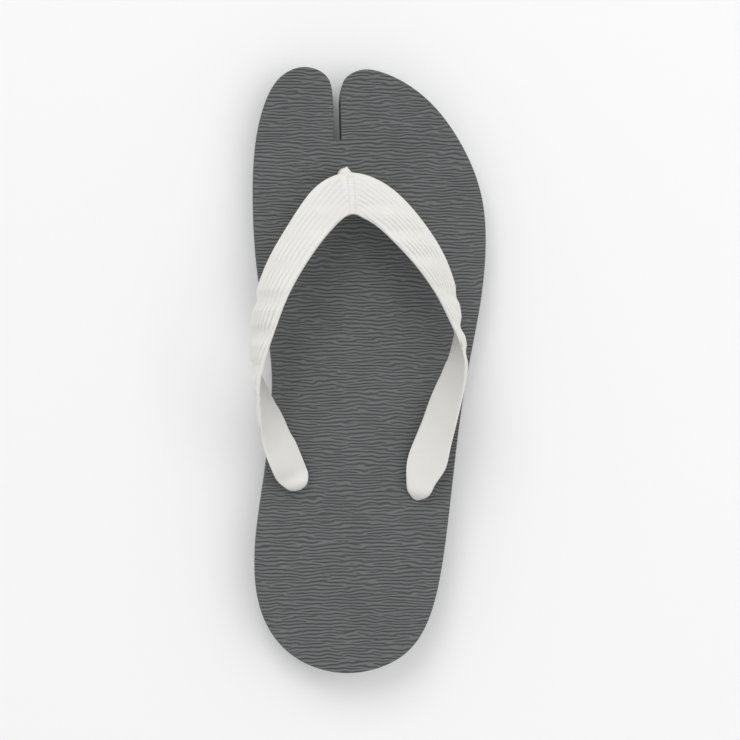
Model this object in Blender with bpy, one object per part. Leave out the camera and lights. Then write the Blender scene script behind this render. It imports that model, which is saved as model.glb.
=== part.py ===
"""A right-foot tabi sandal: a rubber sole split at the toes and a moulded rubber strap.

Metres, +Z up, +Y towards the toes, +X towards the little toe. The floor is z = 0, and the origin is under
the middle of the sandal's length and width.
"""

import math
from collections import namedtuple

import bmesh
import bpy
import numpy as np

# Sole: one slab of sponge rubber.
SOLE_LENGTH = 0.265
BALL_WIDTH = 0.103
HEEL_THICKNESS = 0.0200
TOE_THICKNESS = 0.0145
TOE_SPRING = 0.0045
ARCH_RISE = 0.0012
RIM_ROUND = 0.0006
SLOT_WIDTH = 0.0033

# Strap: moulded whole, with a post between the toes and a stem at the end of each arm.
STRAP_RISE = 0.0272
BAND_WIDTH = 0.0180
BAND_THICKNESS = 0.0032
BAND_CROWN = 0.0006
SEGMENT_DEPTH = 0.0007
SEGMENT_PINCH = 0.0010
INNER_PAD = 0.0010
OUTER_PAD = 0.0004
POST_DIAMETER = 0.0066
POST_LEAN = 0.0018
POST_PROUD = 0.0009
STEM_DIAMETER = 0.0070
STEM_SHOULDER = 0.0010
PLUG_DIAMETER = 0.0170
PLUG_THICKNESS = 0.0032
PLUG_RECESS = 0.0008

# Room that the post, the stems and the plugs have in the sole.
FIT = 0.0003

# How finely the curves are cut into flat faces.
EDGE_STEPS = 6
SLOT_STEPS = 6
STRIP_COUNT = 30
STATION_STEP = 0.0025
SECTION_SIDES = 20
POST_SIDES = 24
DOME_STEPS = 5

# Shapes without a size: how blunt a segment is, how deep the front segments are beside the rear ones and how
# close to the band's edges that holds, how high the post's dome is for its radius, the exponent of a round
# section, and the least angle of a sharp edge.
SEGMENT_BLUNTNESS = 0.7
FRONT_DEPTH_SHARE = 0.5
FRONT_EDGE_POWER = 8
DOME_SHARE = 0.45
ROUND = 2.0
SHARP_DEGREES = 35

# The lip is how far the band's widest level lies towards its smooth side, as a share of half its thickness.
# It grows as the band turns over, from one lean in degrees to another, and the side away from it is rounder.
LIP_UPRIGHT = -0.5
LIP_TURNED = 0.7
LIP_FROM = 60.0
LIP_TO = 100.0
LIP_BEND = 1.6

# How far a cutter stands out of the sole, the step that a direction is read over, and the distance below
# which two points of a cut count as one.
CUTTER_OVERSHOOT = 0.002
DIRECTION_STEP = 0.0001
SAME_PLACE = 0.000001

SOLE_COLOUR = (0.135, 0.139, 0.139, 1.0)
STRAP_COLOUR = (0.83, 0.82, 0.79, 1.0)
SOLE_ROUGHNESS = 0.75
STRAP_ROUGHNESS = 0.4

SolePoint = namedtuple("SolePoint", "place along across")
SideRow = namedtuple("SideRow", "along spring arch heel")
ArmRow = namedtuple("ArmRow", "place across back rise bearing lean width thick square")
Arm = namedtuple("Arm", "divisions pinch_from pinch_to pad")

# Places on the sole: along is a share of SOLE_LENGTH from the heel, and across a share of BALL_WIDTH from
# the middle. The edge runs from the slot round the little-toe side to the heel and back up the big-toe side.
SLOT_MOUTH = SolePoint("slot mouth", 0.952, -0.144)
SLOT_END = SolePoint("slot end", 0.885, -0.1388)
TOE_HOLE = SolePoint("toe hole", 0.8239, -0.1079)
INNER_HOLE = SolePoint("inner rear hole", 0.3150, -0.3108)
OUTER_HOLE = SolePoint("outer rear hole", 0.2975, 0.2009)
SOLE_EDGE = (
    SolePoint("small toes, inner corner", 0.9775, -0.1145),
    SolePoint("small toes, inner shoulder", 0.9895, -0.0840),
    SolePoint("small toes, front", 0.9970, -0.0277),
    SolePoint("third toe", 0.9890, 0.0787),
    SolePoint("fourth toe", 0.9538, 0.2319),
    SolePoint("little toe", 0.8926, 0.3681),
    SolePoint("outer shoulder", 0.8143, 0.4651),
    SolePoint("outer ball", 0.7300, 0.4990),
    SolePoint("behind the outer ball", 0.6157, 0.4774),
    SolePoint("outer waist, front", 0.4733, 0.4080),
    SolePoint("outer waist, back", 0.3178, 0.3523),
    SolePoint("outer heel, front", 0.1854, 0.3089),
    SolePoint("outer heel", 0.0861, 0.2464),
    SolePoint("outer heel, back", 0.0257, 0.1298),
    SolePoint("heel back", 0.0000, -0.0940),
    SolePoint("inner heel, back", 0.0248, -0.3128),
    SolePoint("inner heel", 0.0872, -0.4489),
    SolePoint("inner heel, front", 0.1854, -0.4932),
    SolePoint("inner waist, back", 0.3178, -0.4549),
    SolePoint("inner waist, deepest", 0.4500, -0.4200),
    SolePoint("inner waist, front", 0.5300, -0.4260),
    SolePoint("behind the inner ball", 0.6455, -0.4745),
    SolePoint("inner ball", 0.7700, -0.5000),
    SolePoint("big toe, outer side", 0.8904, -0.4830),
    SolePoint("big toe, shoulder", 0.9682, -0.4149),
    SolePoint("big toe, front left", 0.9930, -0.3468),
    SolePoint("big toe, front", 1.0000, -0.2787),
    SolePoint("big toe, front right", 0.9928, -0.2106),
    SolePoint("big toe, inner corner", 0.9770, -0.1730),
)

# The sole from the side: spring is a share of TOE_SPRING, arch of ARCH_RISE, and heel of what the heel is
# thicker than the toe.
SOLE_SIDE = (
    SideRow(0.00, 0.00, 0.00, 1.00),
    SideRow(0.18, 0.00, 0.00, 0.98),
    SideRow(0.30, 0.00, 0.30, 0.84),
    SideRow(0.42, 0.00, 1.00, 0.56),
    SideRow(0.50, 0.00, 0.80, 0.34),
    SideRow(0.58, 0.00, 0.00, 0.16),
    SideRow(0.70, 0.00, 0.00, 0.03),
    SideRow(0.82, 0.00, 0.00, 0.00),
    SideRow(0.90, 0.25, 0.00, 0.00),
    SideRow(1.00, 1.00, 0.00, 0.00),
)

# The strap's middle line from the inner stem over the seam at the front to the outer stem. Across and back
# start from the toe hole: across is a share of the rear holes' distance, and back a share of the way to the
# outer one. Rise is a share of STRAP_RISE above the footbed. Bearing is where the band's upper edge points,
# from straight back towards the outer side, and lean turns the band about its middle line, from flat at 0
# through upright at 90. Width and thick are shares of BAND_WIDTH and BAND_THICKNESS, and square shapes the
# section.
STRAP_ROWS = (
    ArmRow("inner tip", -0.411, 0.966, 0.125, 108, 170, 0.56, 1.90, 2.4),
    ArmRow("inner end", -0.438, 0.950, 0.195, 108, 158, 0.78, 1.10, 3.2),
    ArmRow("inner rear, low", -0.476, 0.923, 0.28, 108, 148, 0.92, 0.95, 4.0),
    ArmRow("inner rear", -0.544, 0.860, 0.40, 108, 142, 0.98, 0.90, 4.5),
    ArmRow("inner side, back", -0.612, 0.790, 0.54, 108, 129, 1.00, 0.90, 5.0),
    ArmRow("inner side, middle", -0.669, 0.722, 0.70, 106, 113, 1.00, 0.95, 5.0),
    ArmRow("inner side, upright", -0.716, 0.655, 0.83, 99, 97, 0.98, 1.00, 5.0),
    ArmRow("inner side, front", -0.715, 0.578, 0.94, 89, 77, 0.98, 1.00, 5.0),
    ArmRow("inner arm, highest", -0.681, 0.498, 0.99, 79, 60, 1.00, 1.00, 5.0),
    ArmRow("inner arm, back", -0.630, 0.416, 1.00, 72, 50, 1.02, 1.00, 5.0),
    ArmRow("inner arm, middle", -0.562, 0.346, 0.98, 66, 43, 1.02, 1.00, 5.0),
    ArmRow("inner arm, front", -0.484, 0.287, 0.94, 60, 38, 1.02, 1.00, 5.0),
    ArmRow("inner front, back", -0.359, 0.210, 0.86, 55, 33, 1.02, 1.00, 5.0),
    ArmRow("inner front", -0.230, 0.141, 0.76, 48, 26, 1.05, 1.05, 5.0),
    ArmRow("beside the seam, inner", -0.116, 0.095, 0.67, 32, 17, 1.05, 1.10, 5.0),
    ArmRow("seam", 0.038, 0.073, 0.60, 7, 14, 1.05, 1.12, 5.0),
    ArmRow("beside the seam, outer", 0.191, 0.090, 0.66, -20, 14, 1.03, 1.10, 5.0),
    ArmRow("outer front", 0.317, 0.124, 0.76, -38, 21, 1.02, 1.05, 5.0),
    ArmRow("outer front, back", 0.438, 0.172, 0.86, -47, 28, 1.02, 1.00, 5.0),
    ArmRow("outer arm, front", 0.545, 0.222, 0.93, -52, 34, 1.01, 1.00, 5.0),
    ArmRow("outer arm, middle", 0.641, 0.273, 0.98, -57, 41, 1.00, 1.00, 5.0),
    ArmRow("outer arm, back", 0.716, 0.322, 1.00, -62, 49, 1.00, 1.00, 5.0),
    ArmRow("outer arm, highest", 0.782, 0.375, 1.00, -67, 58, 1.00, 1.00, 5.0),
    ArmRow("outer side, front", 0.856, 0.451, 0.97, -75, 72, 1.00, 1.00, 5.0),
    ArmRow("outer side, upright", 0.904, 0.526, 0.89, -85, 93, 0.98, 1.00, 5.0),
    ArmRow("outer side, turned", 0.904, 0.585, 0.79, -93, 110, 0.97, 1.00, 5.0),
    ArmRow("outer side, middle", 0.880, 0.636, 0.67, -101, 121, 0.95, 0.95, 5.0),
    ArmRow("outer side, back", 0.829, 0.703, 0.52, -105, 133, 0.95, 0.90, 5.0),
    ArmRow("outer rear", 0.772, 0.781, 0.385, -106, 143, 0.94, 0.90, 4.5),
    ArmRow("outer rear, low", 0.715, 0.851, 0.28, -107, 154, 0.96, 0.90, 4.0),
    ArmRow("outer end, wide", 0.664, 0.914, 0.21, -107, 160, 0.96, 0.95, 3.6),
    ArmRow("outer end", 0.617, 0.969, 0.16, -106, 166, 0.70, 1.15, 2.8),
    ArmRow("outer tip", 0.606, 0.994, 0.115, -105, 172, 0.56, 1.50, 2.4),
)
SEAM = [row.place for row in STRAP_ROWS].index("seam")

# Where the moulded segments of each arm meet, straight across the foot: shares of the way back. The band
# thins towards such a line from as far as DIVISION_REACH, also a share of the way. From pinch_from to
# pinch_to its front edge begins to be pinched there too, and between the lines the face stands proud by pad.
INNER_ARM = Arm((0.130, 0.214, 0.305, 0.408, 0.511, 0.614, 0.707, 0.801), 0.31, 0.40, INNER_PAD)
OUTER_ARM = Arm((0.130, 0.214, 0.292, 0.387, 0.485, 0.568), 0.32, 0.41, OUTER_PAD)
DIVISION_REACH = 0.045


def natural_spline(knots, values):
    """A function that runs smoothly through the values, with no bend at its two ends."""
    knots = np.asarray(knots, float)
    values = np.asarray(values, float)
    steps = np.diff(knots)
    slopes = (np.diff(values, axis=0).T / steps).T
    count = len(knots)
    matrix = np.eye(count)
    right = np.zeros_like(values)
    for i in range(1, count - 1):
        matrix[i, i - 1 : i + 2] = steps[i - 1], 2 * (steps[i - 1] + steps[i]), steps[i]
        right[i] = 6 * (slopes[i] - slopes[i - 1])
    bends = np.linalg.solve(matrix, right)

    def at(place):
        i = int(np.clip(np.searchsorted(knots, place) - 1, 0, count - 2))
        a = (knots[i + 1] - place) / steps[i]
        b = 1 - a
        curve = ((a**3 - a) * bends[i] + (b**3 - b) * bends[i + 1]) * steps[i] ** 2 / 6
        return a * values[i] + b * values[i + 1] + curve

    return at


def steady_curve(knots, values):
    """A function through the values that never swings past them, for the sole's heights."""
    slopes = np.diff(values) / np.diff(knots)
    tangents = [0.0]
    for before, after in zip(slopes[:-1], slopes[1:]):
        level = before * after <= 0
        tangents.append(0.0 if level else 2 * before * after / (before + after))
    tangents.append(slopes[-1])

    def at(place):
        i = int(np.clip(np.searchsorted(knots, place) - 1, 0, len(knots) - 2))
        step = knots[i + 1] - knots[i]
        t = np.clip((place - knots[i]) / step, 0.0, 1.0)
        start = values[i] * (1 + 2 * t) * (1 - t) ** 2 + tangents[i] * step * t * (1 - t) ** 2
        end = values[i + 1] * t**2 * (3 - 2 * t) + tangents[i + 1] * step * t**2 * (t - 1)
        return start + end

    return at


SIDE_PLACES = [row.along for row in SOLE_SIDE]
SPRING_AT = steady_curve(SIDE_PLACES, [row.spring for row in SOLE_SIDE])
ARCH_AT = steady_curve(SIDE_PLACES, [row.arch for row in SOLE_SIDE])
HEEL_AT = steady_curve(SIDE_PLACES, [row.heel for row in SOLE_SIDE])


def underside(y):
    along = y / SOLE_LENGTH + 0.5
    return TOE_SPRING * SPRING_AT(along) + ARCH_RISE * ARCH_AT(along)


def footbed(y):
    along = y / SOLE_LENGTH + 0.5
    thickness = TOE_THICKNESS + (HEEL_THICKNESS - TOE_THICKNESS) * HEEL_AT(along)
    return TOE_SPRING * SPRING_AT(along) + thickness


def sole_point(point):
    """A place on the sole in metres, seen from above, from its shares."""
    return np.array([point.across * BALL_WIDTH, (point.along - 0.5) * SOLE_LENGTH])


def new_object(name, mesh, parent, material=None):
    obj = bpy.data.objects.new(name, mesh)
    bpy.context.scene.collection.objects.link(obj)
    obj.parent = parent
    if material:
        mesh.materials.append(material)
    return obj


def hide(obj):
    """Makes the object a helper that is drawn as a wire and is no piece of the sandal."""
    obj.hide_render = True
    obj.display_type = "WIRE"


def boolean(obj, other, operation):
    modifier = obj.modifiers.new(other.name, "BOOLEAN")
    modifier.operation = operation
    modifier.solver = "EXACT"
    modifier.object = other


def finish_mesh(bm, name):
    """Ends a bmesh as a mesh with its faces out, smooth but for its sharp edges."""
    bmesh.ops.recalc_face_normals(bm, faces=bm.faces)
    mesh = bpy.data.meshes.new(name)
    bm.to_mesh(mesh)
    bm.free()
    mesh.shade_smooth()
    mesh.set_sharp_from_angle(angle=math.radians(SHARP_DEGREES))
    return mesh


def loft(bm, rings):
    """Joins rings of as many points each with quads, and caps the first and the last."""
    rows = [[bm.verts.new(point) for point in ring] for ring in rings]
    sides = len(rows[0])
    for low, high in zip(rows[:-1], rows[1:]):
        for i in range(sides):
            j = (i + 1) % sides
            bm.faces.new((low[i], low[j], high[j], high[i]))
    bm.faces.new(rows[0])
    bm.faces.new(rows[-1])


def round_ring(centre, radius, z):
    turns = [2 * math.pi * i / POST_SIDES for i in range(POST_SIDES)]
    return [(centre[0] + radius * math.cos(t), centre[1] + radius * math.sin(t), z) for t in turns]


def sole_outline():
    """The sole's edge seen from above, as one ring of points that takes in the slot."""
    mouth = sole_point(SLOT_MOUTH)
    end = sole_point(SLOT_END)
    back = (end - mouth) / np.linalg.norm(end - mouth)
    rim = np.array([-back[1], back[0]]) * SLOT_WIDTH / 2
    points = np.array([mouth + rim] + [sole_point(p) for p in SOLE_EDGE] + [mouth - rim])
    knots = np.concatenate([[0.0], np.cumsum(np.linalg.norm(np.diff(points, axis=0), axis=1) ** 0.5)])
    edge_at = natural_spline(knots, points)
    ring = []
    for first, last in zip(knots[:-1], knots[1:]):
        for step in range(EDGE_STEPS):
            ring.append(edge_at(first + (last - first) * step / EDGE_STEPS))
    ring.append(points[-1])
    for step in range(SLOT_STEPS + 1):
        turn = math.pi * step / SLOT_STEPS
        ring.append(end - rim * math.cos(turn) + back * SLOT_WIDTH / 2 * math.sin(turn))
    return np.array(ring)


def inset(ring, amount):
    """The ring moved into the material, which lies on the right of its direction."""
    along = np.roll(ring, -1, axis=0) - np.roll(ring, 1, axis=0)
    along /= np.linalg.norm(along, axis=1)[:, None]
    inward = np.stack([along[:, 1], -along[:, 0]], axis=1)
    return ring + inward * amount


def sole_mesh():
    """A prism of the outline in four numbered levels, cut in strips and bent to the sole's side profile."""
    ring = sole_outline()
    small = inset(ring, RIM_ROUND)
    bm = bmesh.new()
    loft(bm, [[(x, y, level) for x, y in points] for level, points in enumerate((small, ring, ring, small))])
    for i in range(1, STRIP_COUNT):
        bmesh.ops.bisect_plane(
            bm,
            geom=bm.verts[:] + bm.edges[:] + bm.faces[:],
            plane_co=(0.0, (i / STRIP_COUNT - 0.5) * SOLE_LENGTH, 0.0),
            plane_no=(0.0, 1.0, 0.0),
            dist=SAME_PLACE,
        )
    for vert in bm.verts:
        low, high = underside(vert.co.y), footbed(vert.co.y)
        vert.co.z = (low, low + RIM_ROUND, high - RIM_ROUND, high)[round(vert.co.z)]
    return finish_mesh(bm, "sole")


def plug_heights(y):
    """The lower and upper face of the plug under the hole at y."""
    low = underside(y) + PLUG_RECESS
    return low, low + PLUG_THICKNESS


def cut_hole(sole, hole, diameter):
    """Cuts a hole for the strap and, under it, the round recess for its plug."""
    place = sole_point(hole)
    ceiling = plug_heights(place[1])[1] + FIT
    wide = PLUG_DIAMETER / 2 + FIT
    narrow = diameter / 2 + FIT
    steps = (
        (wide, underside(place[1]) - CUTTER_OVERSHOOT),
        (wide, ceiling),
        (narrow, ceiling),
        (narrow, footbed(place[1]) + CUTTER_OVERSHOOT),
    )
    bm = bmesh.new()
    loft(bm, [round_ring(place, radius, z) for radius, z in steps])
    name = hole.place.replace(" ", "_")
    cutter = new_object(name, finish_mesh(bm, name), sole.parent)
    hide(cutter)
    boolean(sole, cutter, "DIFFERENCE")


def strap_place(across, back):
    """A place on the strap in metres, seen from above, from its shares."""
    toe = sole_point(TOE_HOLE)
    inner = sole_point(INNER_HOLE)
    outer = sole_point(OUTER_HOLE)
    return toe + np.array([across * (outer[0] - inner[0]), -back * (toe[1] - outer[1])])


def smooth_step(value, low, high):
    """0 below low, 1 above high and a smooth way between them."""
    t = min(1.0, max(0.0, (value - low) / (high - low)))
    return t * t * (3 - 2 * t)


def segment_depths(y, u, arm):
    """How far the band's face and its front edge are drawn in, at this y and this place u across it."""
    toe_y = sole_point(TOE_HOLE)[1]
    back = (toe_y - y) / (toe_y - sole_point(OUTER_HOLE)[1])
    nearest = min(abs(back - division) for division in arm.divisions)
    gap = 1 - math.sin(math.pi / 2 * min(1.0, nearest / DIVISION_REACH)) ** SEGMENT_BLUNTNESS
    tight = smooth_step(back, arm.pinch_from, arm.pinch_to)
    share = FRONT_DEPTH_SHARE + (1 - FRONT_DEPTH_SHARE) * tight
    last = 1 - smooth_step(back, arm.divisions[-1], arm.divisions[-1] + DIVISION_REACH)
    dip = SEGMENT_DEPTH * gap * share * (1 - u**FRONT_EDGE_POWER * (1 - tight))
    dip -= arm.pad * (1 - gap) * tight * last * (1 - u**2)
    pinch = SEGMENT_PINCH * gap * tight if u < 0 else 0.0
    return dip, pinch


def band_section(centre, upper, face, width, thick, square, lean=0.0, arm=None):
    """One ring of the band. Upper points across the band to its top edge, face out of its ribbed side."""
    flat = min(1.0, square / ROUND - 1)
    lip = flat * (LIP_UPRIGHT + (LIP_TURNED - LIP_UPRIGHT) * smooth_step(lean, LIP_FROM, LIP_TO))
    bend = 1 + LIP_BEND * abs(lip)
    ring = []
    for i in range(SECTION_SIDES):
        turn = 2 * math.pi * (i + 0.5) / SECTION_SIDES
        c, s = math.cos(turn), math.sin(turn)
        side = math.copysign(1.0, s)
        power = 2 / square * (bend if side * lip > 0 else 1 / bend)
        u = math.copysign(abs(c) ** power, c)
        v = side * abs(s) ** power * (1 + side * lip) - lip
        dip, pinch = segment_depths(centre[1] + upper[1] * u * width / 2, u, arm) if arm else (0.0, 0.0)
        rise = (BAND_CROWN * (1 - u * u) - dip) * flat if s > 0 else 0.0
        ring.append(tuple(centre + upper * u * (width / 2 - pinch * flat) + face * (v * thick / 2 + rise)))
    return ring


def flat_direction(bearing):
    turn = math.radians(bearing)
    return np.array([math.sin(turn), -math.cos(turn), 0.0])


def stem_rings(hole, bearing, ahead):
    """The plug and the round stem of one arm, from the plug's lower face up to the stem's shoulder."""
    x, y = sole_point(hole)
    upper = -flat_direction(bearing)
    face = np.cross(upper, (0.0, 0.0, ahead))
    low, high = plug_heights(y)
    steps = (
        (low, PLUG_DIAMETER),
        (high, PLUG_DIAMETER),
        (high, STEM_DIAMETER),
        (footbed(y) + STEM_SHOULDER, STEM_DIAMETER),
    )
    return [band_section(np.array([x, y, z]), upper, face, size, size, ROUND) for z, size in steps]


def row_values(row):
    x, y = strap_place(row.across, row.back)
    z = footbed(y) + row.rise * STRAP_RISE
    return [x, y, z, row.bearing, row.lean, row.width * BAND_WIDTH, row.thick * BAND_THICKNESS, row.square]


def stem_top(hole, row):
    """An arm's first or last station, at the shoulder of its stem and turned as its nearest row."""
    x, y = sole_point(hole)
    return [x, y, footbed(y) + STEM_SHOULDER, row.bearing, 180.0, STEM_DIAMETER, STEM_DIAMETER, ROUND]


def strap_rings():
    inner, outer = STRAP_ROWS[0], STRAP_ROWS[-1]
    stations = [stem_top(INNER_HOLE, inner)] + [row_values(row) for row in STRAP_ROWS]
    stations = np.array(stations + [stem_top(OUTER_HOLE, outer)])
    lengths = np.linalg.norm(np.diff(stations[:, :3], axis=0), axis=1)
    knots = np.concatenate([[0.0], np.cumsum(lengths)])
    value_at = natural_spline(knots, stations)
    seam = knots[SEAM + 1]
    count = int(round(knots[-1] / STATION_STEP))
    rings = stem_rings(INNER_HOLE, inner.bearing, 1.0)
    for i in range(1, count):
        place = knots[-1] * i / count
        x, y, z, bearing, lean, width, thick, square = value_at(place)
        ahead = value_at(place + DIRECTION_STEP)[:3] - value_at(place - DIRECTION_STEP)[:3]
        ahead /= np.linalg.norm(ahead)
        tilt = math.radians(lean)
        upper = flat_direction(bearing) * math.cos(tilt) + np.array([0.0, 0.0, math.sin(tilt)])
        face = np.cross(upper, ahead)
        face /= np.linalg.norm(face)
        arm = INNER_ARM if place < seam else OUTER_ARM
        centre = np.array([x, y, z])
        rings.append(band_section(centre, upper, face, width, thick, max(square, ROUND), lean, arm))
    rings += stem_rings(OUTER_HOLE, outer.bearing, -1.0)[::-1]
    return rings


def strap_mesh():
    bm = bmesh.new()
    loft(bm, strap_rings())
    return finish_mesh(bm, "strap")


def post_top(y):
    """The height of the post's top, a little above the band's front edge at the seam."""
    seam = STRAP_ROWS[SEAM]
    edge_drop = seam.width * BAND_WIDTH / 2 * math.sin(math.radians(seam.lean))
    return footbed(y) + seam.rise * STRAP_RISE - edge_drop + POST_PROUD


def post_mesh():
    """The toe post with its plug, leaning back a little to the band, with a domed top."""
    place = sole_point(TOE_HOLE)
    radius = POST_DIAMETER / 2
    low, high = plug_heights(place[1])
    rings = [
        round_ring(place, PLUG_DIAMETER / 2, low),
        round_ring(place, PLUG_DIAMETER / 2, high),
        round_ring(place, radius, high),
        round_ring(place, radius, footbed(place[1])),
    ]
    behind = place - np.array([0.0, POST_LEAN])
    dome = radius * DOME_SHARE
    for step in range(DOME_STEPS):
        turn = math.pi / 2 * step / DOME_STEPS
        z = post_top(place[1]) - dome * (1 - math.sin(turn))
        rings.append(round_ring(behind, radius * math.cos(turn), z))
    bm = bmesh.new()
    loft(bm, rings)
    return finish_mesh(bm, "toe_post")


def rubber(name, colour, roughness):
    material = bpy.data.materials.new(name)
    material.use_nodes = True
    shader = material.node_tree.nodes["Principled BSDF"]
    shader.inputs["Base Color"].default_value = colour
    shader.inputs["Roughness"].default_value = roughness
    shader.inputs["Metallic"].default_value = 0.0
    return material


def build_sole(sandal):
    sponge = rubber("sponge_rubber", SOLE_COLOUR, SOLE_ROUGHNESS)
    sole = new_object("sole", sole_mesh(), sandal, sponge)
    cut_hole(sole, TOE_HOLE, POST_DIAMETER)
    cut_hole(sole, INNER_HOLE, STEM_DIAMETER)
    cut_hole(sole, OUTER_HOLE, STEM_DIAMETER)
    return sole


def build_strap(sandal):
    moulded = rubber("moulded_rubber", STRAP_COLOUR, STRAP_ROUGHNESS)
    strap = new_object("strap", strap_mesh(), sandal, moulded)
    post = new_object("toe_post", post_mesh(), sandal)
    hide(post)
    boolean(strap, post, "UNION")
    return strap


def centre_on_origin(sandal, pieces):
    """Moves the sandal so that the middle of its pieces' box is over the origin."""
    points = np.array([vert.co for piece in pieces for vert in piece.data.vertices])
    middle = (points.min(axis=0) + points.max(axis=0)) / 2
    sandal.location = (-middle[0], -middle[1], 0.0)


def main():
    for obj in list(bpy.data.objects):
        bpy.data.objects.remove(obj, do_unlink=True)
    sandal = new_object("sandal", None, None)
    pieces = [build_sole(sandal), build_strap(sandal)]
    centre_on_origin(sandal, pieces)


main()
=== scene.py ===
# %% [markdown]
# This notebook dresses a tabi sandal for the right foot: a dark sponge-rubber sole, split between the big toe
# and the others, and an off-white strap of moulded rubber. The solids were packed beforehand and are loaded
# as a fixed frame. Each of them gets a finer piece here, which lies exactly where the solid lies, so the
# frame's boxes give the places and nothing has to be fitted by eye.

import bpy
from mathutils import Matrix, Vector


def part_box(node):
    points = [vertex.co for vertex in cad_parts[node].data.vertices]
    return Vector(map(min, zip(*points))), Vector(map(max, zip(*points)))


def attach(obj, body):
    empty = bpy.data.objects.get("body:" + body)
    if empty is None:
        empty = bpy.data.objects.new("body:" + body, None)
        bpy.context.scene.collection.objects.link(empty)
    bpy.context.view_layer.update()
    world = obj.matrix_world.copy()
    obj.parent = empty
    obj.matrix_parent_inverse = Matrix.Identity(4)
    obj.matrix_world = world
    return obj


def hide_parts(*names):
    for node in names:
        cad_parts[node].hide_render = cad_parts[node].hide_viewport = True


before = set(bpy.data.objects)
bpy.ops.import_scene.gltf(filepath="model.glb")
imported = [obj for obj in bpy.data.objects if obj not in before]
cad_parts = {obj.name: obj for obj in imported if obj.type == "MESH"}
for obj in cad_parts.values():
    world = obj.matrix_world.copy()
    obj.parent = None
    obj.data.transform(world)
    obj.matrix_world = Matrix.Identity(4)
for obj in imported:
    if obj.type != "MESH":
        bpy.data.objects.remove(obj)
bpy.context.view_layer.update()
sole_low, sole_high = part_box("sole")
print("nodes:", sorted(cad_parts))

# %% Modules and units
import math
from collections import namedtuple

import bmesh
import bpy
import numpy as np
from mathutils import Matrix, Vector

MM = 0.001

print("sole, mm:", [round(side / MM, 1) for side in sole_high - sole_low])

# %% [markdown]
# The photograph looks straight down, from a point a little beside the sandal, on the side of its big toe.
# Turning the camera towards the sandal from that same point keeps every overlap that the photograph shows,
# such as how much of the strap's inner side is seen. A lens shift would frame it too, but a shift spoils
# views from other sides.

# %% Camera
CAMERA_PLACE = Vector((-51.0, 0.0, 766.0)) * MM
LENS_MM = 83.2
SENSOR_MM = 36.0
CLIP_FROM = 10 * MM
CLIP_TO = 10.0
FOOTBED_LEVEL = 16 * MM
PICTURE_UP = Vector((0.0, 1.0, 0.0))

target = Vector(((sole_low.x + sole_high.x) / 2, (sole_low.y + sole_high.y) / 2, FOOTBED_LEVEL))
camera = bpy.data.objects.new("camera", bpy.data.cameras.new("camera"))
bpy.context.scene.collection.objects.link(camera)
camera.data.lens = LENS_MM
camera.data.sensor_width = SENSOR_MM
camera.data.clip_start = CLIP_FROM
camera.data.clip_end = CLIP_TO
camera.location = CAMERA_PLACE
backward = (CAMERA_PLACE - target).normalized()
sideways = PICTURE_UP.cross(backward).normalized()
camera.rotation_euler = Matrix((sideways, backward.cross(sideways), backward)).transposed().to_euler()
bpy.context.scene.camera = camera
print("camera to footbed, mm:", round((target - CAMERA_PLACE).length / MM))

# %% [markdown]
# Two small curve helpers serve the whole sandal. The first runs smoothly through a table's rows, as a bent
# spline would, and suits outlines and the strap's path. The second never swings past its values, which keeps
# the flat stretches of the sole's underside flat.


# %% Curves through tables
def natural_spline(knots, values):
    """A function that runs smoothly through the values, with no bend at its two ends."""
    knots = np.asarray(knots, float)
    values = np.asarray(values, float)
    steps = np.diff(knots)
    slopes = (np.diff(values, axis=0).T / steps).T
    count = len(knots)
    matrix = np.eye(count)
    right = np.zeros_like(values)
    for i in range(1, count - 1):
        matrix[i, i - 1 : i + 2] = steps[i - 1], 2 * (steps[i - 1] + steps[i]), steps[i]
        right[i] = 6 * (slopes[i] - slopes[i - 1])
    bends = np.linalg.solve(matrix, right)

    def at(place):
        i = int(np.clip(np.searchsorted(knots, place) - 1, 0, count - 2))
        a = (knots[i + 1] - place) / steps[i]
        b = 1 - a
        curve = ((a**3 - a) * bends[i] + (b**3 - b) * bends[i + 1]) * steps[i] ** 2 / 6
        return a * values[i] + b * values[i + 1] + curve

    return at


def steady_curve(knots, values):
    """A function of an array that goes through the values and never swings past them."""
    knots = np.asarray(knots, float)
    values = np.asarray(values, float)
    slopes = np.diff(values) / np.diff(knots)
    tangents = [0.0]
    for before, after in zip(slopes[:-1], slopes[1:]):
        level = before * after <= 0
        tangents.append(0.0 if level else 2 * before * after / (before + after))
    tangents = np.array(tangents + [slopes[-1]])

    def at(places):
        i = np.clip(np.searchsorted(knots, places) - 1, 0, len(knots) - 2)
        step = knots[i + 1] - knots[i]
        t = np.clip((places - knots[i]) / step, 0.0, 1.0)
        start = values[i] * (1 + 2 * t) * (1 - t) ** 2 + tangents[i] * step * t * (1 - t) ** 2
        end = values[i + 1] * t**2 * (3 - 2 * t) + tangents[i + 1] * step * t**2 * (t - 1)
        return start + end

    return at


halfway_up = natural_spline([0, 1, 2], [0, 1, 0])(0.5)
print("a spline through 0, 1 and 0, halfway up:", round(float(halfway_up), 3))

# %% [markdown]
# The sole is cut from one sheet of sponge rubber. Its outline, slot and holes repeat the solid's own tables:
# along is a share of the length from the heel, across a share of the width at the ball. From the side the
# sole is level under heel and ball, arches a little between them, and springs up at the toes.

# %% The sole's tables
SOLE_LENGTH = sole_high.y - sole_low.y
BALL_WIDTH = 103 * MM
HEEL_THICKNESS = 20 * MM
TOE_THICKNESS = 14.5 * MM
TOE_SPRING = 4.5 * MM
ARCH_RISE = 1.2 * MM
RIM_ROUND = 0.6 * MM
SLOT_WIDTH = 3.3 * MM

SolePoint = namedtuple("SolePoint", "place along across")
SideRow = namedtuple("SideRow", "along spring arch heel")

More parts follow.
